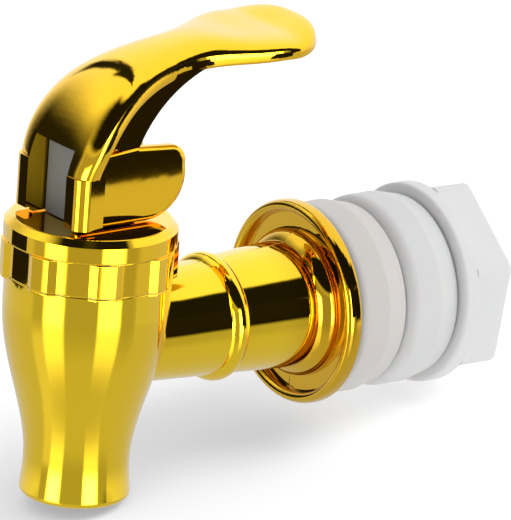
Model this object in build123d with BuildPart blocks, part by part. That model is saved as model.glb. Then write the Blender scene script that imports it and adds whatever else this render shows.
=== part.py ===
from build123d import *
from math import copysign, cos, pi, radians, sin
import os

# A spigot for a beverage dispenser, in millimetres. A vessel's wall is clamped between two
# soft washers. The shank runs along Y towards the vessel, the barrel stands upright in front
# of the flange, and the lever over the barrel lifts the valve inside it.
# The origin is on the shank's axis, in the plane where the washers meet the wall.

# Clamp on the vessel's wall
washer_thick = 11.3
washer_inside_flange = 1.1
washer_front_round = 2.0
washer_bevel_length = 3.3
washer_bevel_depth = 0.8
washer_rear_round = 1.5
washer_bore_clearance = 0.3

# Shank and tube
shank_radius = 7.8
shank_past_nut = 5.0
shank_end_chamfer = 0.8
inlet_radius = 5.8
flange_to_barrel = 46.3
tube_radius_barrel = 8.7
tube_radius_flange = 11.4
tube_bead_from_flange = 20.5
tube_bead_half_width = 1.75
tube_bead_height = 1.05

# Flange
flange_radius = 17.9
flange_plate = 1.3
lip_height = 1.7
lip_width = 2.3
lip_crest_share = 0.45
lip_slope = 0.25
flange_back_round = 0.8
root_bead_radius = 12.7
root_bead_half_width = 1.6
root_bead_rise = 3.3
root_bead_foot = 0.4

# Barrel and spout, heights from the shank's axis
barrel_radius = 14.3
barrel_full_height = 6.5
shoulder_height = 11.3
inflection_height = -10.0
inflection_radius = 11.25
waist_height = -20.6
waist_radius = 9.15
spout_height = -28.1
spout_radius = 9.55
spout_edge_round = 1.1
spout_flare_slope = 0.12
neck_radius = 12.4

# Chamber, valve seat and outlet
chamber_radius = 10.0
chamber_floor = -8.4
chamber_floor_round = 2.0
seat_radius = 5.3
seat_lip_height = 0.9
seat_lip_width = 0.9
outlet_radius = 7.3
outlet_flare_length = 9.0

# Screw cap
cap_ring_height = 4.1
cap_roof = 2.6
cap_ring_radius = 14.9
cap_band_radius = 14.5
cap_band_height = 6.4
cap_edge_bevel = 1.2
cap_edge_round = 0.4
cap_thread_clearance = 0.12
pad_count = 8
pad_angle = 22.8
pad_height = 0.75
pad_bevel = 1.4
pad_first_angle = -24.0

# Seat cup
cup_rim_thick = 1.0
cup_rim_clearance = 0.2
cup_wall = 1.1
cup_top_inner = 7.6
cup_low_inner = 5.7
plug_radius = 6.9
plug_thick = 5.2
plug_round = 0.9

# Stem
stem_radius = 2.4
stem_running = 0.08
foot_depth = 3.6
barb_radius = 3.3
barb_length = 1.6
collar_radius = 5.0
collar_thick = 1.5
collar_above_plug = 1.6
head_running = 0.15
head_front = 6.3
head_rear = 2.6
head_height = 13.2
head_round = 0.8
trunnion_radius = 1.9
trunnion_height = 6.2
trunnion_running = 0.06
trunnion_bite = 1.2
trunnion_end_gap = 0.15

# Return spring
spring_wire = 0.9
spring_radius = 4.1
spring_turns = 6.0
spring_end_gap = 0.03

# Lever: distances from the barrel's axis, heights from the cap's top
slot_half_width = 5.6
window_height = 14.2
cheek_thick = 2.0
cheek_front = 8.4
cheek_rear = 13.9
cheek_rear_height = 9.4
cheek_top_height = 13.6
cheek_top_fall = 0.8
cheek_corner = 3.0
cheek_edge_round = 1.2
web_thick = 1.3
web_root = (3.6, 12.6)
web_middle = (7.7, 19.4)
web_end = (17.2, 26.0)
heel_gap = 0.2
heel_reach = 6.5
press_angle = 0.40
leg_half_width = 9.9
leg_front = 9.95
leg_depth = 5.05
leg_bottom = 1.0
leg_seam = 10.0
leg_corner = 2.2
leg_edge = 0.9
leg_foot_round = 0.8

# Middle line of the lever's arm, from the foot over the bend to the thumb rest
arm_foot = (-7.5, 8.0)
arm_knee = (-5.5, 15.0)
arm_bend = (-0.2, 21.4)
arm_back = (8.3, 25.4)
arm_neck = (19.2, 27.2)
arm_dish = (33.0, 28.2)
arm_tip = (41.1, 30.2)
arm_thick_foot = 4.7
arm_thick_tip = 4.2
arm_half_width_foot = 9.8
arm_half_width_shoulder = 10.5
arm_half_width_neck = 6.6
arm_half_width_thumb = 11.8
arm_shoulder_share = 0.12
arm_neck_share = 0.55
arm_thumb_share = 0.83
arm_crown = 0.9
arm_crown_share = 0.25
arm_top_power = 2.8
arm_under_power = 4.2
dish_depth = 1.2
dish_start_share = 0.64
tip_angle = 0.32
nose_length = 10.0
nose_plan_power = 2.4
nose_side_power = 8
body_stations = 12
nose_stations = 8
nose_end = 0.994
nose_crowding = 0.8
section_points = 28
heel_points = 7

# Hexagon nut
nut_inside_flange = 0.3
nut_flange_thick = 2.9
nut_hex_length = 7.45
nut_corner_past_flange = 0.5
nut_corner_round = 2.0
nut_edge_round = 0.7
nut_rest_angle = 20.98
nut_thread_clearance = 0.12

# Places and sizes that follow from the ones above
washer_radius = flange_radius - washer_inside_flange
nut_flange_radius = flange_radius - nut_inside_flange
nut_hex_corner = nut_flange_radius + nut_corner_past_flange
cap_height = shoulder_height + cap_band_height + cap_ring_height
flange_back = -washer_thick
barrel_y = flange_back - flange_to_barrel
nut_front = washer_thick
nut_back = nut_front + nut_flange_thick + nut_hex_length
shank_end = nut_back + shank_past_nut
seat_height = chamber_floor + seat_lip_height
plug_top = seat_height + plug_thick
roof_underside = cap_height - cap_roof
neck_height = roof_underside - cup_rim_thick
collar_height = plug_top + collar_above_plug
head_foot = cap_height + heel_gap
head_half_width = slot_half_width - head_running
trunnion_z = cap_height + trunnion_height
foot_z = plug_top - foot_depth
trunnion_tip = slot_half_width + trunnion_bite - trunnion_end_gap

upright = Plane.XZ.offset(-barrel_y)
barrel_axis = Axis((0, barrel_y, 0), (0, 0, 1))
side_view = Plane(origin=(0, barrel_y, cap_height), x_dir=(0, 1, 0), z_dir=(1, 0, 0))


def level(height):
    """A horizontal plane centred on the barrel's axis."""
    return Plane(origin=(0, barrel_y, height), x_dir=(1, 0, 0), z_dir=(0, 0, 1))


def across(y):
    """An upright plane across the shank, looking from the vessel's side."""
    return Plane(origin=(0, y, 0), x_dir=(1, 0, 0), z_dir=(0, -1, 0))


def polar(radius, angle):
    """A point round a centre, for an angle in radians."""
    return (radius * cos(angle), radius * sin(angle))


def tube_radius(y):
    """The tapered tube's radius at a place along the shank."""
    share = (y - barrel_y) / (flange_back - barrel_y)
    return tube_radius_barrel + (tube_radius_flange - tube_radius_barrel) * share


# Valve body: barrel, spout, tube, flange and shank in one moulding
with BuildPart() as valve_body:
    with BuildSketch(upright):
        with BuildLine():
            side = Spline(
                (barrel_radius, barrel_full_height),
                (inflection_radius, inflection_height),
                (waist_radius, waist_height),
                (spout_radius, spout_height + spout_edge_round),
                tangents=((0, -1), (spout_flare_slope, -1)),
            )
            lip = TangentArc(
                side @ 1,
                (spout_radius - spout_edge_round, spout_height),
                tangent=(0, -1),
            )
            Polyline(
                lip @ 1,
                (0, spout_height),
                (0, neck_height),
                (neck_radius, neck_height),
                (neck_radius, shoulder_height),
                (barrel_radius, shoulder_height),
                side @ 0,
            )
        make_face()
    revolve(axis=barrel_axis)

    # Tube, beads, flange and shank
    bead_y = flange_back - tube_bead_from_flange
    bead_ends = (bead_y - tube_bead_half_width, bead_y + tube_bead_half_width)
    dish_y = flange_back - flange_plate
    root_y = dish_y - root_bead_rise
    root_crest_y = root_y + root_bead_half_width
    lip_inner = flange_radius - lip_width
    with BuildSketch(Plane.YZ):
        with BuildLine():
            Polyline(
                (barrel_y, 0),
                (barrel_y, tube_radius(barrel_y)),
                (bead_ends[0], tube_radius(bead_ends[0])),
            )
            ThreePointArc(
                (bead_ends[0], tube_radius(bead_ends[0])),
                (bead_y, tube_radius(bead_y) + tube_bead_height),
                (bead_ends[1], tube_radius(bead_ends[1])),
            )
            Line((bead_ends[1], tube_radius(bead_ends[1])), (root_y, tube_radius(root_y)))
            root_bead = ThreePointArc(
                (root_y, tube_radius(root_y)),
                (root_crest_y, root_bead_radius),
                (dish_y, root_bead_radius + root_bead_foot),
            )
            Line(root_bead @ 1, (dish_y, lip_inner))
            lip_rise = Spline(
                (dish_y, lip_inner),
                (dish_y - lip_height, lip_inner + lip_width * lip_crest_share),
                (dish_y, flange_radius),
                tangents=((-1, lip_slope), (1, 0)),
            )
            Line(lip_rise @ 1, (flange_back - flange_back_round, flange_radius))
            back_round = TangentArc(
                (flange_back - flange_back_round, flange_radius),
                (flange_back, flange_radius - flange_back_round),
                tangent=(1, 0),
            )
            Polyline(
                back_round @ 1,
                (flange_back, shank_radius),
                (shank_end - shank_end_chamfer, shank_radius),
                (shank_end, shank_radius - shank_end_chamfer),
                (shank_end, 0),
                (barrel_y, 0),
            )
        make_face()
    revolve(axis=Axis.Y)

    # Chamber over the seat
    with BuildSketch(upright):
        with BuildLine():
            Polyline(
                (0, neck_height),
                (chamber_radius, neck_height),
                (chamber_radius, chamber_floor + chamber_floor_round),
            )
            corner = TangentArc(
                (chamber_radius, chamber_floor + chamber_floor_round),
                (chamber_radius - chamber_floor_round, chamber_floor),
                tangent=(0, -1),
            )
            Polyline(
                corner @ 1,
                (seat_radius + seat_lip_width, chamber_floor),
                (seat_radius + seat_lip_width, seat_height),
                (0, seat_height),
                (0, neck_height),
            )
        make_face()
    revolve(axis=barrel_axis, mode=Mode.SUBTRACT)

    # Outlet below the seat, flaring to the spout's mouth
    with BuildSketch(upright):
        with BuildLine():
            Polyline(
                (0, seat_height),
                (seat_radius, seat_height),
                (seat_radius, spout_height + outlet_flare_length),
                (outlet_radius, spout_height),
                (0, spout_height),
                (0, seat_height),
            )
        make_face()
    revolve(axis=barrel_axis, mode=Mode.SUBTRACT)

    # Inlet along the shank
    with BuildSketch(across(shank_end)):
        Circle(inlet_radius)
    extrude(amount=shank_end - barrel_y, mode=Mode.SUBTRACT)

# Screw cap over the neck, with grip pads round its band
with BuildPart() as screw_cap:
    with BuildSketch(level(shoulder_height)):
        Circle(cap_band_radius)
    extrude(amount=cap_band_height)
    with BuildSketch(level(shoulder_height + cap_band_height)):
        Circle(cap_ring_radius)
    extrude(amount=cap_ring_height)
    chamfer(screw_cap.faces().sort_by(Axis.Z)[-1].edges(), length=cap_edge_bevel)
    fillet(screw_cap.edges().group_by(Axis.Z)[-1], radius=cap_edge_round)
    pad_outer = cap_band_radius + pad_height
    pad_pitch = 360 / pad_count
    for pad in range(pad_count):
        start = radians(pad_first_angle - pad_angle / 2 + pad * pad_pitch)
        end = start + radians(pad_angle)
        slope = pad_bevel / pad_outer
        with BuildSketch(level(shoulder_height)):
            with BuildLine():
                pad_face = ThreePointArc(
                    polar(pad_outer, start + slope),
                    polar(pad_outer, (start + end) / 2),
                    polar(pad_outer, end - slope),
                )
                Polyline(
                    pad_face @ 1,
                    polar(cap_band_radius, end),
                    (0, 0),
                    polar(cap_band_radius, start),
                    pad_face @ 0,
                )
            make_face()
        extrude(amount=cap_band_height)
    with BuildSketch(level(shoulder_height)):
        Circle(neck_radius + cap_thread_clearance)
    extrude(amount=roof_underside - shoulder_height, mode=Mode.SUBTRACT)
    with BuildSketch(level(shoulder_height)):
        Circle(stem_radius + stem_running)
    extrude(amount=cap_height, mode=Mode.SUBTRACT)

# Outline of the stem's barbed foot, which the seat cup's plug is moulded round
foot_outline = (
    (0, foot_z),
    (stem_radius, foot_z),
    (barb_radius, foot_z + barb_length),
    (stem_radius, foot_z + barb_length),
    (stem_radius, plug_top),
)

# Seat cup: clamped rim, conical bell and the plug that closes the seat
with BuildPart() as seat_cup:
    rim_radius = neck_radius - cup_rim_clearance
    with BuildSketch(upright):
        with BuildLine():
            Line((0, seat_height), (plug_radius - plug_round, seat_height))
            plug_edge = TangentArc(
                (plug_radius - plug_round, seat_height),
                (plug_radius, seat_height + plug_round),
                tangent=(1, 0),
            )
            Polyline(
                plug_edge @ 1,
                (plug_radius, plug_top),
                (cup_top_inner + cup_wall, neck_height),
                (rim_radius, neck_height),
                (rim_radius, roof_underside),
                (cup_top_inner, roof_underside),
                (cup_top_inner, neck_height),
                (cup_low_inner, plug_top),
                *reversed(foot_outline),
                (0, seat_height),
            )
        make_face()
    revolve(axis=barrel_axis)

# Stem: barbed foot, rod, spring collar, and the head with its trunnions
with BuildPart() as stem:
    with BuildSketch(upright):
        with BuildLine():
            Polyline(
                *foot_outline,
                (stem_radius, collar_height),
                (collar_radius, collar_height),
                (collar_radius, collar_height + collar_thick),
                (stem_radius, collar_height + collar_thick),
                (stem_radius, trunnion_z),
                (0, trunnion_z),
                (0, foot_z),
            )
        make_face()
    revolve(axis=barrel_axis)
    with BuildSketch(level(head_foot)):
        with Locations((0, (head_rear - head_front) / 2)):
            RectangleRounded(2 * head_half_width, head_front + head_rear, head_round)
    extrude(amount=head_height)
    fillet(stem.faces().sort_by(Axis.Z)[-1].edges(), radius=head_round)
    with BuildSketch(side_view.offset(-trunnion_tip)):
        with Locations((0, trunnion_height)):
            Circle(trunnion_radius)
    extrude(amount=2 * trunnion_tip)

# Return spring, between the stem's collar and the underside of the cap
with BuildPart() as return_spring:
    spring_foot = collar_height + collar_thick + spring_end_gap + spring_wire / 2
    spring_head = roof_underside - spring_end_gap - spring_wire / 2
    with BuildLine() as coil:
        Helix(
            pitch=(spring_head - spring_foot) / spring_turns,
            height=spring_head - spring_foot,
            radius=spring_radius,
            center=(0, barrel_y, spring_foot),
        )
    with BuildSketch(Plane(origin=coil.line @ 0, z_dir=coil.line % 0)):
        Circle(spring_wire / 2)
    sweep(path=coil.line, is_frenet=True)


def ease(start, end, share):
    """A smooth change from one value to another as the share goes from 0 to 1."""
    share = min(max(share, 0), 1)
    return start + (end - start) * share * share * (3 - 2 * share)


def arm_half_width(share):
    """Half the arm's width: wide at the foot, narrow at the neck, wide for the thumb."""
    if share < arm_shoulder_share:
        return ease(arm_half_width_foot, arm_half_width_shoulder, share / arm_shoulder_share)
    if share < arm_neck_share:
        part = (share - arm_shoulder_share) / (arm_neck_share - arm_shoulder_share)
        return ease(arm_half_width_shoulder, arm_half_width_neck, part)
    part = (share - arm_neck_share) / (arm_thumb_share - arm_neck_share)
    return ease(arm_half_width_neck, arm_half_width_thumb, part)


def arm_section(share, nose):
    """Points round the arm: a crowned top, dished for the thumb, over a flatter underside."""
    half_width = arm_half_width(share) * (1 - nose**nose_plan_power) ** 0.5
    thick = ease(arm_thick_foot, arm_thick_tip, share) * (1 - nose**nose_side_power) ** 0.5
    crown = arm_crown * ease(0, 1, share / arm_crown_share) * (1 - nose * nose)
    dish = 0
    if share > dish_start_share:
        dish = dish_depth * sin(pi * (share - dish_start_share) / (1 - dish_start_share))
    points = []
    for step in range(section_points):
        turn = 2 * pi * step / section_points
        power = arm_top_power if sin(turn) > 0 else arm_under_power
        x = copysign(abs(cos(turn)) ** (2 / power), cos(turn))
        y = copysign(abs(sin(turn)) ** (2 / power), sin(turn))
        rise = crown * (1 - x * x)
        if y > 0:
            rise -= dish * (1 - x * x) ** 1.5
        points.append(Vector(half_width * x, thick / 2 * y + rise))
    return points


# Sections of the lever's arm along its middle line, ending in a rounded nose with a small flat land
with BuildLine() as arm_line:
    Spline(
        arm_foot,
        arm_knee,
        arm_bend,
        arm_back,
        arm_neck,
        arm_dish,
        arm_tip,
        tangents=((0, 1), (cos(tip_angle), sin(tip_angle))),
    )
arm_middle = side_view.from_local_coords(arm_line.line.edge())
nose_share = nose_length / arm_middle.length
stations = []
for step in range(body_stations):
    stations.append(((1 - nose_share) * step / (body_stations - 1), 0))
for step in range(1, nose_stations + 1):
    nose = nose_end * sin(pi / 2 * step / nose_stations) ** nose_crowding
    stations.append((1 - nose_share * (1 - nose), nose))
knots = [step / section_points for step in range(section_points + 1)]
arm_sections = []
for share, nose in stations:
    place = Plane(origin=arm_middle @ share, x_dir=(1, 0, 0), z_dir=-(arm_middle % share))
    with BuildSketch(place) as section:
        with BuildLine():
            add(Edge.make_spline(arm_section(share, nose), periodic=True, parameters=knots))
        make_face()
    arm_sections.append(section.sketch.face())

# One side of the lever's foot: leg, cheek with its cam heel, web and trunnion socket
with BuildPart() as foot_side:
    involute = []
    for step in range(heel_points):
        turn = press_angle * step / (heel_points - 1)
        drop = trunnion_height - heel_gap + heel_reach * turn
        involute.append(
            (
                heel_reach * cos(turn) + drop * sin(turn),
                trunnion_height + heel_reach * sin(turn) - drop * cos(turn),
            )
        )
    with BuildSketch(side_view.offset(slot_half_width)):
        with BuildLine():
            Line((-cheek_front, heel_gap), involute[0])
            heel = Spline(*involute, tangents=((1, 0), (cos(press_angle), sin(press_angle))))
            rear = TangentArc(heel @ 1, (cheek_rear, cheek_rear_height), tangent=heel % 1)
            Polyline(
                rear @ 1,
                (cheek_rear, cheek_top_height - cheek_top_fall),
                (web_root[0], cheek_top_height),
                (-cheek_front, web_root[1]),
                (-cheek_front, heel_gap),
            )
        make_face()
        rear_corners = vertices().sort_by(Axis.X)[-2:]
        fillet(rear_corners.sort_by(Axis.Y)[-1], radius=cheek_corner)
    extrude(amount=cheek_thick)
    fillet(foot_side.faces().sort_by(Axis.X)[-1].edges(), radius=cheek_edge_round)

    # Web between the cheek and the arm's underside
    with BuildSketch(side_view.offset(slot_half_width)):
        with BuildLine():
            web_edge = Spline(web_root, web_middle, web_end)
            Polyline(web_edge @ 1, arm_back, arm_bend, arm_knee, web_root)
        make_face()
    extrude(amount=web_thick)

    # Leg below the parting seam
    leg_middle = (slot_half_width + leg_half_width) / 2
    with BuildSketch(level(cap_height + leg_bottom)):
        with Locations((leg_middle, leg_depth / 2 - leg_front)):
            Rectangle(leg_half_width - slot_half_width, leg_depth)
        front_corners = vertices().sort_by(Axis.Y)[:2]
        outer_corner = front_corners.sort_by(Axis.X)[-1]
        fillet(outer_corner, radius=leg_corner)
    extrude(amount=leg_seam - leg_bottom)

    # Blind socket for the stem's trunnion
    with BuildSketch(side_view.offset(slot_half_width)):
        with Locations((0, trunnion_height)):
            Circle(trunnion_radius + trunnion_running)
    extrude(amount=trunnion_bite, mode=Mode.SUBTRACT)

# Lever: arm, the window through its foot, and both sides of the foot
with BuildPart() as lever:
    loft(sections=arm_sections)
    with BuildSketch(side_view.offset(-slot_half_width)):
        with Locations((0, 0)):
            Rectangle(
                2 * cheek_rear,
                window_height,
                align=(Align.CENTER, Align.MIN),
            )
    extrude(amount=2 * slot_half_width, mode=Mode.SUBTRACT)
    add(foot_side.part)
    mirror(foot_side.part, about=Plane.YZ)

# Soft washers, both with the same section
washers = {}
for name, front in (("front_washer", -washer_thick), ("rear_washer", 0)):
    with BuildPart() as washer:
        rear = front + washer_thick
        bevel_start = rear - washer_rear_round - washer_bevel_length
        bore = shank_radius + washer_bore_clearance
        with BuildSketch(Plane.YZ):
            with BuildLine():
                front_round = TangentArc(
                    (front, washer_radius - washer_front_round),
                    (front + washer_front_round, washer_radius),
                    tangent=(0, 1),
                )
                Polyline(
                    front_round @ 1,
                    (bevel_start, washer_radius),
                    (rear - washer_rear_round, washer_radius - washer_bevel_depth),
                )
                rear_round = TangentArc(
                    (rear - washer_rear_round, washer_radius - washer_bevel_depth),
                    (rear, washer_radius - washer_bevel_depth - washer_rear_round),
                    tangent=(1, 0),
                )
                Polyline(
                    rear_round @ 1,
                    (rear, bore),
                    (front, bore),
                    front_round @ 0,
                )
            make_face()
        revolve(axis=Axis.Y)
    washers[name] = washer

# Hexagon nut with its round flange
with BuildPart() as hex_nut:
    with BuildSketch(across(nut_back)):
        RegularPolygon(nut_hex_corner, 6, rotation=nut_rest_angle)
        fillet(vertices(), radius=nut_corner_round)
    extrude(amount=nut_hex_length)
    fillet(hex_nut.faces().sort_by(Axis.Y)[-1].edges(), radius=nut_edge_round)
    with BuildSketch(across(nut_front + nut_flange_thick)):
        Circle(nut_flange_radius)
    extrude(amount=nut_flange_thick)
    fillet(hex_nut.faces().sort_by(Axis.Y)[0].edges(), radius=nut_edge_round)
    with BuildSketch(across(nut_back)):
        Circle(shank_radius + nut_thread_clearance)
    extrude(amount=nut_back - nut_front, mode=Mode.SUBTRACT)

pieces = {
    "valve_body": valve_body,
    "screw_cap": screw_cap,
    "lever": lever,
    "stem": stem,
    "return_spring": return_spring,
    "seat_cup": seat_cup,
    "front_washer": washers["front_washer"],
    "rear_washer": washers["rear_washer"],
    "hex_nut": hex_nut,
}

os.makedirs("parts", exist_ok=True)
for label, piece in pieces.items():
    piece.part.label = label
    export_step(piece.part, f"parts/{label}.step")
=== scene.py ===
"""Looks of the beverage dispenser spigot: plated mouldings, frosted clamp, light and camera."""
import logging
from dataclasses import dataclass
from enum import Enum
from math import cos, pi, radians, sin
from typing import Optional, Union

import bpy
from mathutils import Matrix, Vector


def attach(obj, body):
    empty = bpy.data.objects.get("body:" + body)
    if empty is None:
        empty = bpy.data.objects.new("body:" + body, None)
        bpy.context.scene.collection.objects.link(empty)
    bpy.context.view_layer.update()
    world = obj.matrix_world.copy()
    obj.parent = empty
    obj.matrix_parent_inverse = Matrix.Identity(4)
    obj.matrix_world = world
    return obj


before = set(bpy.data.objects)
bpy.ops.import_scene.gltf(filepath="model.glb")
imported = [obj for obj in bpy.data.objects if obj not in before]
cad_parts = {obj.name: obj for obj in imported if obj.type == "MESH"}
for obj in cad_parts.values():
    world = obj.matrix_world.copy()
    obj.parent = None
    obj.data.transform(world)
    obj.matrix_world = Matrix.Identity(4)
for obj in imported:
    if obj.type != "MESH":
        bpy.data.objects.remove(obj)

log = logging.getLogger("spigot")
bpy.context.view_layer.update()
Colour = tuple[float, float, float]
WHITE = (1.0, 1.0, 1.0, 1.0)
DEGREES_IN_RADIAN = 180 / pi


class Parting(Enum):
    """Where a moulding shows the line between the halves of its mould."""

    NONE = "none"
    MIRROR_PLANE = "mirror plane"


class Signal:
    """A value or colour on its way between shader nodes, with ordinary arithmetic."""

    def __init__(self, sheet: "NodeSheet", socket: Optional[bpy.types.NodeSocket]) -> None:
        """Remember the sheet that the socket belongs to."""
        self.sheet = sheet
        self.socket = socket

    def _join(self, operation: str, other: "Level", swap: bool = False) -> "Signal":
        """Join this signal and another with one arithmetic node."""
        first, second = (other, self) if swap else (self, other)
        return self.sheet.math(operation, first, second)

    def __add__(self, other: "Level") -> "Signal":
        """Add."""
        return self._join("ADD", other)

    def __radd__(self, other: "Level") -> "Signal":
        """Add from the right."""
        return self._join("ADD", other, swap=True)

    def __sub__(self, other: "Level") -> "Signal":
        """Subtract."""
        return self._join("SUBTRACT", other)

    def __rsub__(self, other: "Level") -> "Signal":
        """Subtract this from a number."""
        return self._join("SUBTRACT", other, swap=True)

    def __mul__(self, other: "Level") -> "Signal":
        """Multiply."""
        return self._join("MULTIPLY", other)

    def __rmul__(self, other: "Level") -> "Signal":
        """Multiply from the right."""
        return self._join("MULTIPLY", other, swap=True)

    def __abs__(self) -> "Signal":
        """Take the size without the sign."""
        return self.sheet.math("ABSOLUTE", self)


Level = Union[Signal, float]


class NodeSheet:
    """The nodes of one material or of the sky, written as expressions."""

    def __init__(self, tree: bpy.types.NodeTree) -> None:
        """Empty the tree before it is written."""
        self.tree = tree
        tree.nodes.clear()

    def node(self, kind: str, inputs: dict[Union[str, int], object], output: Union[str, int] = 0,
             **settings: object) -> Signal:
        """Make one node.

        Args:
            kind: the node's type name.
            inputs: numbers, colours or signals for its sockets.
            output: the socket that carries the result.
            **settings: attributes of the node.

        Returns:
            The result as a signal.
        """
        made = self.tree.nodes.new(kind)
        for name, value in settings.items():
            setattr(made, name, value)
        for key, value in inputs.items():
            if isinstance(value, Signal):
                self.tree.links.new(value.socket, made.inputs[key])
            else:
                made.inputs[key].default_value = value
        return Signal(self, made.outputs[output] if made.outputs else None)

    def math(self, operation: str, first: Level, second: Level = 0.0) -> Signal:
        """One arithmetic step."""
        return self.node("ShaderNodeMath", {0: first, 1: second}, operation=operation)

    def step(self, value: Level, start: float, end: float) -> Signal:
        """A soft step from 0 to 1 as the value goes from start to end."""
        return self.node(
            "ShaderNodeMapRange", {"Value": value, "From Min": start, "From Max": end},
            interpolation_type="SMOOTHSTEP",
        )

    def place(self) -> Signal:
        """The point on the piece, in the object's own metres."""
        return self.node("ShaderNodeTexCoord", {}, "Object")

    def split(self, vector: Signal) -> tuple[Signal, Signal, Signal]:
        """Take a vector apart.

        Args:
            vector: the vector's signal.

        Returns:
            Its parts along X, Y and Z.
        """
        parts = self.node("ShaderNodeSeparateXYZ", {0: vector})
        outs = parts.socket.node.outputs
        return Signal(self, outs[0]), Signal(self, outs[1]), Signal(self, outs[2])

    def noise(self, place: Signal, scale: float, detail: float = 3.0) -> Signal:
        """Cloudy noise between 0 and 1 with the given number of waves in a metre."""
        return self.node("ShaderNodeTexNoise", {"Vector": place, "Scale": scale, "Detail": detail})

    def blend(self, share: Level, low: object, high: object) -> Signal:
        """Mix two colours.

        Args:
            share: how much of the second colour there is, from 0 to 1.
            low: the first colour, as numbers or a signal.
            high: the second colour, as numbers or a signal.

        Returns:
            The mixed colour.
        """
        made = self.node("ShaderNodeMix", {"Factor": share}, data_type="RGBA")
        mixer = made.socket.node
        for socket, value in ((mixer.inputs[6], low), (mixer.inputs[7], high)):
            if isinstance(value, Signal):
                self.tree.links.new(value.socket, socket)
            else:
                socket.default_value = (*value, 1.0)
        return Signal(self, mixer.outputs[2])

    def bump(self, height: Signal, depth: float) -> Signal:
        """A surface relief of the given depth in metres."""
        inputs = {"Height": height, "Distance": depth, "Strength": 1.0}
        return self.node("ShaderNodeBump", inputs, "Normal")

    def surface(self, inputs: dict[str, object]) -> None:
        """Finish the sheet with the surface shader."""
        shader = self.node("ShaderNodeBsdfPrincipled", inputs)
        self.node("ShaderNodeOutputMaterial", {"Surface": shader})


def new_material(name: str) -> tuple[bpy.types.Material, NodeSheet]:
    """Start a material.

    Args:
        name: the material's name.

    Returns:
        The material and its empty sheet of nodes.
    """
    material = bpy.data.materials.new(name)
    material.use_nodes = True
    return material, NodeSheet(material.node_tree)


@dataclass(frozen=True)
class GoldPlating:
    """Bright gold-coloured plating under a clear lacquer, over a plastic moulding, in metres.

    The reliefs are shares of relief_depth: the moulding's slow flow, the plating's grain, the ridge
    that the mould's halves leave and the grooves between rings. Painted shade: along Y, over a span
    that lies past the object unless a moulding sets its own, the colour turns to a darker, oranger
    one that stands in for the flange's darker reflections.
    """

    name: str
    colour: Colour = (0.95, 0.665, 0.012)
    deep_colour: Colour = (0.93, 0.61, 0.010)
    painted_shade_colour: Colour = (0.73, 0.43, 0.006)
    painted_shade_span: tuple[float, float] = (1.0, 2.0)
    parting: Parting = Parting.NONE
    parting_width: float = 0.00022
    seam_heights: tuple[float, ...] = ()
    seam_width: float = 0.00022
    cloud_waves: float = 90.0
    flow_waves: float = 260.0
    grain_waves: float = 5200.0
    relief_depth: float = 0.000012
    flow_relief: float = 7 / 12
    grain_relief: float = 0.03
    parting_relief: float = 2.5
    seam_relief: float = 12.0
    roughness: float = 0.035
    roughness_spread: float = 0.02
    lacquer: float = 0.45
    lacquer_roughness: float = 0.03

    def material(self) -> bpy.types.Material:
        """Write the plating's nodes.

        Returns:
            The finished material.
        """
        material, sheet = new_material(self.name)
        place = sheet.place()
        cloud = sheet.noise(place, self.cloud_waves)
        flow = sheet.noise(place, self.flow_waves, 1.0)
        grain = sheet.noise(place, self.grain_waves, 2.0)
        across, along, upright = sheet.split(place)
        colour = sheet.blend(cloud, self.colour, self.deep_colour)
        # painted shade: the plating darkens and warms along Y, standing in for the flange's darker
        # reflections
        colour = sheet.blend(sheet.step(along, *self.painted_shade_span), colour, self.painted_shade_colour)
        height = flow * self.flow_relief + grain * self.grain_relief
        if self.parting is Parting.MIRROR_PLANE:
            ridge = 1.0 - sheet.step(abs(across), 0.0, self.parting_width)
            height = height + ridge * self.parting_relief
        for seam in self.seam_heights:
            groove = 1.0 - sheet.step(abs(upright - seam), 0.0, self.seam_width)
            height = height - groove * self.seam_relief
        sheet.surface({
            "Base Color": colour,
            "Metallic": 1.0,
            "Roughness": cloud * self.roughness_spread + self.roughness,
            "Normal": sheet.bump(height, self.relief_depth),
            "Coat Weight": self.lacquer,
            "Coat Roughness": self.lacquer_roughness,
        })
        return material


@dataclass(frozen=True)
class FrostedRubber:
    """Milky silicone that lets a little light in."""

    name: str
    colour: Colour = (0.80, 0.80, 0.80)
    cloud_colour: Colour = (0.74, 0.735, 0.73)
    cloud_waves: float = 70.0
    pore_waves: float = 2600.0
    pore_depth: float = 0.00002
    roughness: float = 0.42
    roughness_spread: float = 0.12
    milkiness: float = 0.35
    milk_depth: float = 0.003

    def material(self) -> bpy.types.Material:
        """Write the silicone's nodes.

        Returns:
            The finished material.
        """
        material, sheet = new_material(self.name)
        place = sheet.place()
        cloud = sheet.noise(place, self.cloud_waves)
        pores = sheet.noise(place, self.pore_waves)
        sheet.surface({
            "Base Color": sheet.blend(cloud, self.colour, self.cloud_colour),
            "Roughness": cloud * self.roughness_spread + self.roughness,
            "Normal": sheet.bump(pores, self.pore_depth),
            "Subsurface Weight": self.milkiness,
            "Subsurface Scale": self.milk_depth,
        })
        return material


@dataclass(frozen=True)
class MouldedPlastic:
    """A satin moulded plastic with a fine eroded grain."""

    name: str
    colour: Colour
    cloud_colour: Colour
    cloud_waves: float = 60.0
    grain_waves: float = 1800.0
    grain_depth: float = 0.000015
    roughness: float = 0.4
    roughness_spread: float = 0.1
    milkiness: float = 0.15
    milk_depth: float = 0.002

    def material(self) -> bpy.types.Material:
        """Write the plastic's nodes.

        Returns:
            The finished material.
        """
        material, sheet = new_material(self.name)
        place = sheet.place()
        cloud = sheet.noise(place, self.cloud_waves)
        grain = sheet.noise(place, self.grain_waves)
        sheet.surface({
            "Base Color": sheet.blend(cloud, self.colour, self.cloud_colour),
            "Roughness": grain * self.roughness_spread + self.roughness,
            "Normal": sheet.bump(grain, self.grain_depth),
            "Subsurface Weight": self.milkiness,
            "Subsurface Scale": self.milk_depth,
        })
        return material


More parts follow.
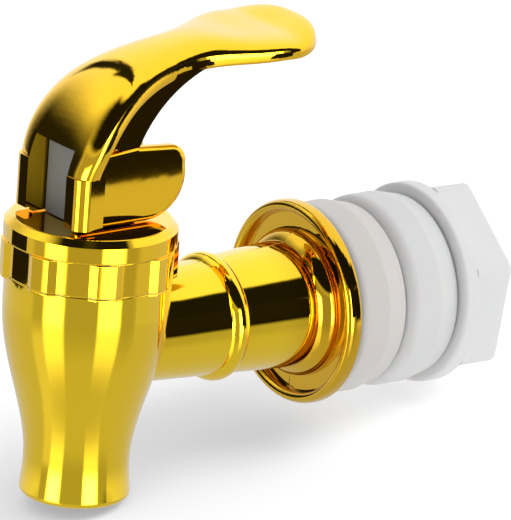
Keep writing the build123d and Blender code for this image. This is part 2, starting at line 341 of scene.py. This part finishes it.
@dataclass(frozen=True)
class DrawnWire:
    """Stainless spring wire with faint drawing lines."""

    name: str
    colour: Colour = (0.62, 0.62, 0.64)
    line_colour: Colour = (0.5, 0.5, 0.52)
    line_waves: float = 4000.0
    line_depth: float = 0.000005
    roughness: float = 0.2
    roughness_spread: float = 0.2

    def material(self) -> bpy.types.Material:
        """Write the wire's nodes.

        Returns:
            The finished material.
        """
        material, sheet = new_material(self.name)
        place = sheet.place()
        lines = sheet.noise(place, self.line_waves)
        sheet.surface({
            "Base Color": sheet.blend(lines, self.colour, self.line_colour),
            "Metallic": 1.0,
            "Roughness": lines * self.roughness_spread + self.roughness,
            "Normal": sheet.bump(lines, self.line_depth),
        })
        return material


def dress(piece: bpy.types.Object, material: bpy.types.Material) -> None:
    """Give every slot of a piece one material.

    Args:
        piece: the piece to dress.
        material: what it wears.
    """
    if not piece.material_slots:
        piece.data.materials.append(material)
    for slot in piece.material_slots:
        slot.material = material
    log.info("dressed %s with %s", piece.name, material.name)


def clear_selection() -> None:
    """Deselect everything, so that the next operator acts on its own piece."""
    bpy.ops.object.select_all(action="DESELECT")


@dataclass
class PlatedMouldings:
    """Valve body, screw cap and lever, all in the same plating."""

    # the body's plating darkens from the flange back: painted shade for the flange's darker
    # reflections
    body: GoldPlating = GoldPlating(
        "gold_body", parting=Parting.MIRROR_PLANE, painted_shade_span=(-0.024, -0.013)
    )
    cap: GoldPlating = GoldPlating(
        "gold_cap", (0.95, 0.62, 0.010), (0.93, 0.57, 0.008), seam_heights=(0.01775, 0.0117)
    )
    lever: GoldPlating = GoldPlating("gold_lever", (0.95, 0.585, 0.008), (0.93, 0.54, 0.006))

    def build(self) -> None:
        """Dress the plated nodes."""
        dress(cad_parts["valve_body"], self.body.material())
        dress(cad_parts["screw_cap"], self.cap.material())
        dress(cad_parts["lever"], self.lever.material())


@dataclass
class ShankThread:
    """The thread that stands on the shank's free end behind the nut, in metres and degrees."""

    root_radius: float = 0.0077
    crest_radius: float = 0.0081
    foot_width: float = 0.001
    crest_width: float = 0.0004
    pitch: float = 0.002
    start: float = 0.0222
    turns: float = 1.5
    steps: int = 144
    smooth_angle: float = 30.0
    finish: GoldPlating = GoldPlating("gold_thread")

    def build(self) -> None:
        """Sweep the thread's profile round the shank as a screw and close its ends."""
        thread = self._profile()
        screw = thread.modifiers.new("sweep", "SCREW")
        screw.axis = "Y"
        screw.angle = 2 * pi * self.turns
        screw.screw_offset = self.pitch * self.turns
        screw.steps = self.steps
        screw.render_steps = self.steps
        screw.use_merge_vertices = False
        bpy.ops.object.modifier_apply(modifier="sweep")
        bpy.ops.object.mode_set(mode="EDIT")
        bpy.ops.mesh.select_all(action="DESELECT")
        bpy.ops.mesh.select_non_manifold(extend=False)
        bpy.ops.mesh.fill()
        bpy.ops.mesh.select_all(action="SELECT")
        bpy.ops.mesh.normals_make_consistent(inside=False)
        bpy.ops.object.mode_set(mode="OBJECT")
        bpy.ops.object.shade_smooth_by_angle(angle=radians(self.smooth_angle))
        thread.data.materials.append(self.finish.material())
        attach(thread, "body")
        log.info("thread of %d faces", len(thread.data.polygons))

    def _profile(self) -> bpy.types.Object:
        """Draw the thread's profile beside the shank.

        Returns:
            The new piece, a ring of four edges.
        """
        clear_selection()
        bpy.ops.mesh.primitive_circle_add(vertices=4, radius=1.0, fill_type="NGON")
        thread = bpy.context.object
        thread.name = "shank_thread"
        profile = (
            (self.root_radius, -self.foot_width / 2),
            (self.crest_radius, -self.crest_width / 2),
            (self.crest_radius, self.crest_width / 2),
            (self.root_radius, self.foot_width / 2),
        )
        for corner, (radius, along) in zip(thread.data.vertices, profile):
            corner.co = (radius, along + self.start, 0.0)
        bpy.ops.object.mode_set(mode="EDIT")
        bpy.ops.mesh.select_all(action="SELECT")
        bpy.ops.mesh.delete(type="ONLY_FACE")
        bpy.ops.object.mode_set(mode="OBJECT")
        return thread


@dataclass
class ValveInsides:
    """Stem, spring and seat cup inside the barrel."""

    stem: MouldedPlastic = MouldedPlastic("stem_plastic", (0.30, 0.31, 0.28), (0.26, 0.27, 0.25))
    cup: FrostedRubber = FrostedRubber("cup_silicone")
    wire: DrawnWire = DrawnWire("spring_wire")

    def build(self) -> None:
        """Dress the nodes inside the barrel."""
        dress(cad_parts["stem"], self.stem.material())
        dress(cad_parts["seat_cup"], self.cup.material())
        dress(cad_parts["return_spring"], self.wire.material())


@dataclass
class WallClamp:
    """Soft washers and the nut that holds the spigot to a vessel."""

    # the front washer is the same silicone as the rear one, painted darker and warmer: painted
    # shade and painted gold light thrown from the flange
    front: FrostedRubber = FrostedRubber(
        "front_silicone_painted_shade", (0.66, 0.635, 0.615), (0.61, 0.585, 0.565)
    )
    rear: FrostedRubber = FrostedRubber("rear_silicone", (0.71, 0.71, 0.71), (0.67, 0.67, 0.67))
    nut: MouldedPlastic = MouldedPlastic("nut_plastic", (0.76, 0.76, 0.76), (0.72, 0.72, 0.725))

    def build(self) -> None:
        """Dress the clamp's nodes."""
        dress(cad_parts["front_washer"], self.front.material())
        dress(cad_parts["rear_washer"], self.rear.material())
        dress(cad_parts["hex_nut"], self.nut.material())


@dataclass(frozen=True)
class Panel:
    """A bright or dark panel of the studio, placed by its direction from the object.

    All but the level are in degrees. Bearing runs from the camera's side to its right, and height
    from the horizon up. Left, right, foot and head are how far each edge fades to either side.
    """

    bearing: tuple[float, float]
    height: tuple[float, float]
    level: float
    left: float = 5.0
    right: float = 5.0
    foot: float = 5.0
    head: float = 5.0


@dataclass(frozen=True)
class Flag:
    """A black card beside the object that only the mirroring surfaces see.

    Sizes are in metres, and turn is in degrees about the upright.
    """

    name: str
    centre: tuple[float, float, float]
    width: float
    height: float
    turn: float
    felt: Colour = (0.012, 0.011, 0.010)
    nap: Colour = (0.02, 0.018, 0.016)
    nap_waves: float = 30.0

    def build(self) -> None:
        """Stand the card up, turned about the upright, and hide it from all but mirror rays."""
        clear_selection()
        bpy.ops.mesh.primitive_plane_add(size=1.0, location=self.centre,
                                         rotation=(radians(90), 0.0, radians(self.turn)))
        card = bpy.context.object
        card.name = self.name
        card.scale = (self.width, self.height, 1.0)
        material, sheet = new_material(self.name + "_felt")
        felt = sheet.blend(sheet.noise(sheet.place(), self.nap_waves), self.felt, self.nap)
        matt = sheet.node("ShaderNodeEmission", {"Color": felt, "Strength": 1.0})
        sheet.node("ShaderNodeOutputMaterial", {"Surface": matt})
        card.data.materials.append(material)
        card.visible_camera = False
        card.visible_diffuse = False
        card.visible_shadow = False
        card.visible_transmission = False


@dataclass
class Studio:
    """Floor, light and the panels that the plating mirrors, in metres, degrees and watts."""

    bearing_zero: float = 52.4
    floor_slope: float = 8.5
    floor_foot: tuple[float, float, float] = (0.0, -0.0486, -0.0284)
    floor_size: float = 6.0
    floor_colour: Colour = (0.9, 0.9, 0.9)
    floor_cloud: Colour = (0.89, 0.89, 0.89)
    floor_cloud_waves: float = 3.0
    floor_glow: float = 0.36
    lamp_place: tuple[float, float, float] = (0.3, 0.4, 0.6)
    lamp_aim: tuple[float, float, float] = (0.0, -0.02, 0.0)
    lamp_size: float = 0.5
    lamp_power: float = 3.0
    high_level: float = 1.28
    base_level: float = 1.08
    low_level: float = 0.63
    soft_level: float = 0.60
    base_rise: tuple[float, float] = (-22.0, -6.0)
    high_rise: tuple[float, float] = (-6.0, 35.0)
    panels: tuple[Panel, ...] = (
        # the dark ceiling and the dark wall on the left
        Panel((-79, 84), (22, 76), 0.012, left=19.0),
        Panel((-135, -78), (-9, 30), 0.02, left=18.0, foot=3.0, head=19.0),
        # the grey room behind the camera, with a paler corner low on the left
        Panel((-77, 70), (-30, 20), 0.48, 4.0, 4.0, 12.0, 4.0),
        Panel((-78, -59), (-54, -22), 0.85, 5.0, 3.0, 6.0, 6.0),
        # the dark post on the right and the thin line across it
        Panel((63, 88), (-9, 56), 0.012, 3.0, 3.0, 3.0, 3.0),
        Panel((62, 90), (20, 22), 0.12, 3.0, 3.0, 1.5, 1.5),
        # the glow of the two lights, then the lights themselves
        Panel((-59, -28), (-42, 8), 1.5, 3.0, 3.0, 12.0, 2.5),
        Panel((19, 51), (-39, 24), 1.45, 2.5, 3.0, 12.0, 2.5),
        Panel((-57, -30), (-17, 7), 7.5, 4.0, 3.0, 7.0, 3.0),
        Panel((20, 49), (-17, 22), 7.5, 3.0, 4.0, 7.0, 3.0),
        # two dark strips high up behind the object
        Panel((-157, -148), (20, 78), 0.02, 2.0, 2.0, 8.0, 2.0),
        Panel((-151, -141), (48, 90), 0.02, 2.0, 2.0, 3.0, 8.0),
    )
    flags: tuple[Flag, ...] = (
        Flag("flag_front", (-0.075, -0.125, 0.012), 0.060, 0.064, -52.6),
        Flag("flag_side", (0.090, 0.002, 0.0215), 0.056, 0.049, 90.0),
    )

    def sky(self) -> None:
        """Write the sky: white for the camera, even for soft light, panels for mirrors."""
        world = bpy.context.scene.world or bpy.data.worlds.new("studio")
        bpy.context.scene.world = world
        world.use_nodes = True
        sheet = NodeSheet(world.node_tree)
        x, y, z = sheet.split(sheet.node("ShaderNodeTexCoord", {}, "Generated"))
        turn = radians(self.bearing_zero)
        ahead = x * sin(turn) - y * cos(turn)
        aside = x * cos(turn) + y * sin(turn)
        bearing = sheet.math("ARCTAN2", aside, ahead) * DEGREES_IN_RADIAN
        height = sheet.math("ARCSINE", z) * DEGREES_IN_RADIAN
        base = sheet.step(height, *self.base_rise) * (self.base_level - self.low_level)
        high = sheet.step(height, *self.high_rise) * (self.high_level - self.base_level)
        level = self.low_level + base + high
        for panel in self.panels:
            mask = self._mask(sheet, bearing, panel.bearing, panel.left, panel.right)
            mask = mask * self._mask(sheet, height, panel.height, panel.foot, panel.head)
            level = level + mask * (panel.level - level)
        path = sheet.node("ShaderNodeLightPath", {})
        outs = path.socket.node.outputs
        scattered = sheet.math("GREATER_THAN", Signal(sheet, outs["Diffuse Depth"]), 0.5)
        mirror = Signal(sheet, outs["Is Glossy Ray"]) * (1.0 - scattered)
        seen = Signal(sheet, outs["Is Camera Ray"])
        soft = seen + (1.0 - seen) * self.soft_level
        strength = mirror * level + (1.0 - mirror) * soft
        light = sheet.node("ShaderNodeBackground", {"Color": WHITE, "Strength": strength})
        sheet.node("ShaderNodeOutputWorld", {"Surface": light})

    def _mask(self, sheet: NodeSheet, value: Signal, span: tuple[float, float], start: float,
              end: float) -> Signal:
        """A box over a span of a value, with its own softness at each end.

        Args:
            sheet: the sheet that the box is written on.
            value: what the box is laid over.
            span: the middle of the rise and the middle of the fall.
            start: half the width of the rise.
            end: half the width of the fall.

        Returns:
            1 inside the box and 0 outside.
        """
        rise = sheet.step(value, span[0] - start, span[0] + start)
        return rise * (1.0 - sheet.step(value, span[1] - end, span[1] + end))

    def floor(self) -> None:
        """Lay the pale floor that the spout and the nut rest on."""
        clear_selection()
        bpy.ops.mesh.primitive_plane_add(size=self.floor_size, location=self.floor_foot,
                                         rotation=(radians(self.floor_slope), 0.0, 0.0))
        floor = bpy.context.object
        floor.name = "floor"
        material, sheet = new_material("pale_floor")
        cloud = sheet.noise(sheet.place(), self.floor_cloud_waves)
        tone = sheet.blend(cloud, self.floor_colour, self.floor_cloud)
        matt = sheet.node("ShaderNodeBsdfDiffuse", {"Color": tone})
        glow = sheet.node("ShaderNodeEmission", {"Color": WHITE, "Strength": self.floor_glow})
        both = sheet.node("ShaderNodeAddShader", {0: matt, 1: glow})
        sheet.node("ShaderNodeOutputMaterial", {"Surface": both})
        floor.data.materials.append(material)
        floor.visible_glossy = False

    def cards(self) -> None:
        """Stand the black cards beside the object."""
        for flag in self.flags:
            flag.build()

    def lamps(self) -> None:
        """Hang one large soft lamp above and behind the object, on the camera's right."""
        data = bpy.data.lights.new("overhead", "AREA")
        data.shape = "RECTANGLE"
        data.size, data.size_y = self.lamp_size, self.lamp_size
        data.energy = self.lamp_power
        lamp = bpy.data.objects.new("overhead", data)
        lamp.location = self.lamp_place
        towards = Vector(self.lamp_aim) - lamp.location
        lamp.rotation_euler = towards.to_track_quat("-Z", "Y").to_euler()
        lamp.visible_glossy = False
        bpy.context.scene.collection.objects.link(lamp)

    def build(self) -> None:
        """Set up the sky, the floor, the black cards and the lamp."""
        self.sky()
        self.floor()
        self.cards()
        self.lamps()


@dataclass
class PhotoCamera:
    """The camera that stands where the photograph was taken.

    Angles are in degrees and lengths in metres, but lens and sensor_width are in millimetres.
    """

    azimuth: float = 52.378
    elevation: float = 18.133
    roll: float = 4.089
    distance: float = 1.5229
    lens: float = 607.8
    sensor_width: float = 36.0
    clip_end: float = 20.0
    aim: tuple[float, float, float] = (0.0, -0.0102, 0.0)
    aim_right: float = 0.00887
    aim_down: float = 0.00674

    def build(self) -> None:
        """Place the camera."""
        azimuth, elevation = radians(self.azimuth), radians(self.elevation)
        roll = radians(self.roll)
        level = cos(elevation)
        right = Vector((cos(azimuth), sin(azimuth), 0.0))
        back = Vector((sin(azimuth) * level, -cos(azimuth) * level, sin(elevation)))
        up = back.cross(right)
        turned_right = right * cos(roll) + up * sin(roll)
        turned_up = up * cos(roll) - right * sin(roll)
        data = bpy.data.cameras.new("camera")
        data.sensor_width = self.sensor_width
        data.lens = self.lens
        data.clip_end = self.clip_end
        camera = bpy.data.objects.new("camera", data)
        place = Vector(self.aim) + back * self.distance
        place -= turned_right * self.aim_right
        place += turned_up * self.aim_down
        turn = Matrix((turned_right, turned_up, back)).transposed().to_4x4()
        camera.matrix_world = Matrix.Translation(place) @ turn
        bpy.context.scene.collection.objects.link(camera)
        bpy.context.scene.camera = camera


def main() -> None:
    """Dress the spigot and set up the studio."""
    logging.basicConfig(level=logging.INFO)
    bpy.context.scene.view_settings.view_transform = "Standard"
    bpy.context.scene.cycles.caustics_reflective = False
    PhotoCamera().build()
    Studio().build()
    for assembly in (PlatedMouldings(), ShankThread(), ValveInsides(), WallClamp()):
        assembly.build()


if __name__ == "__main__":
    main()
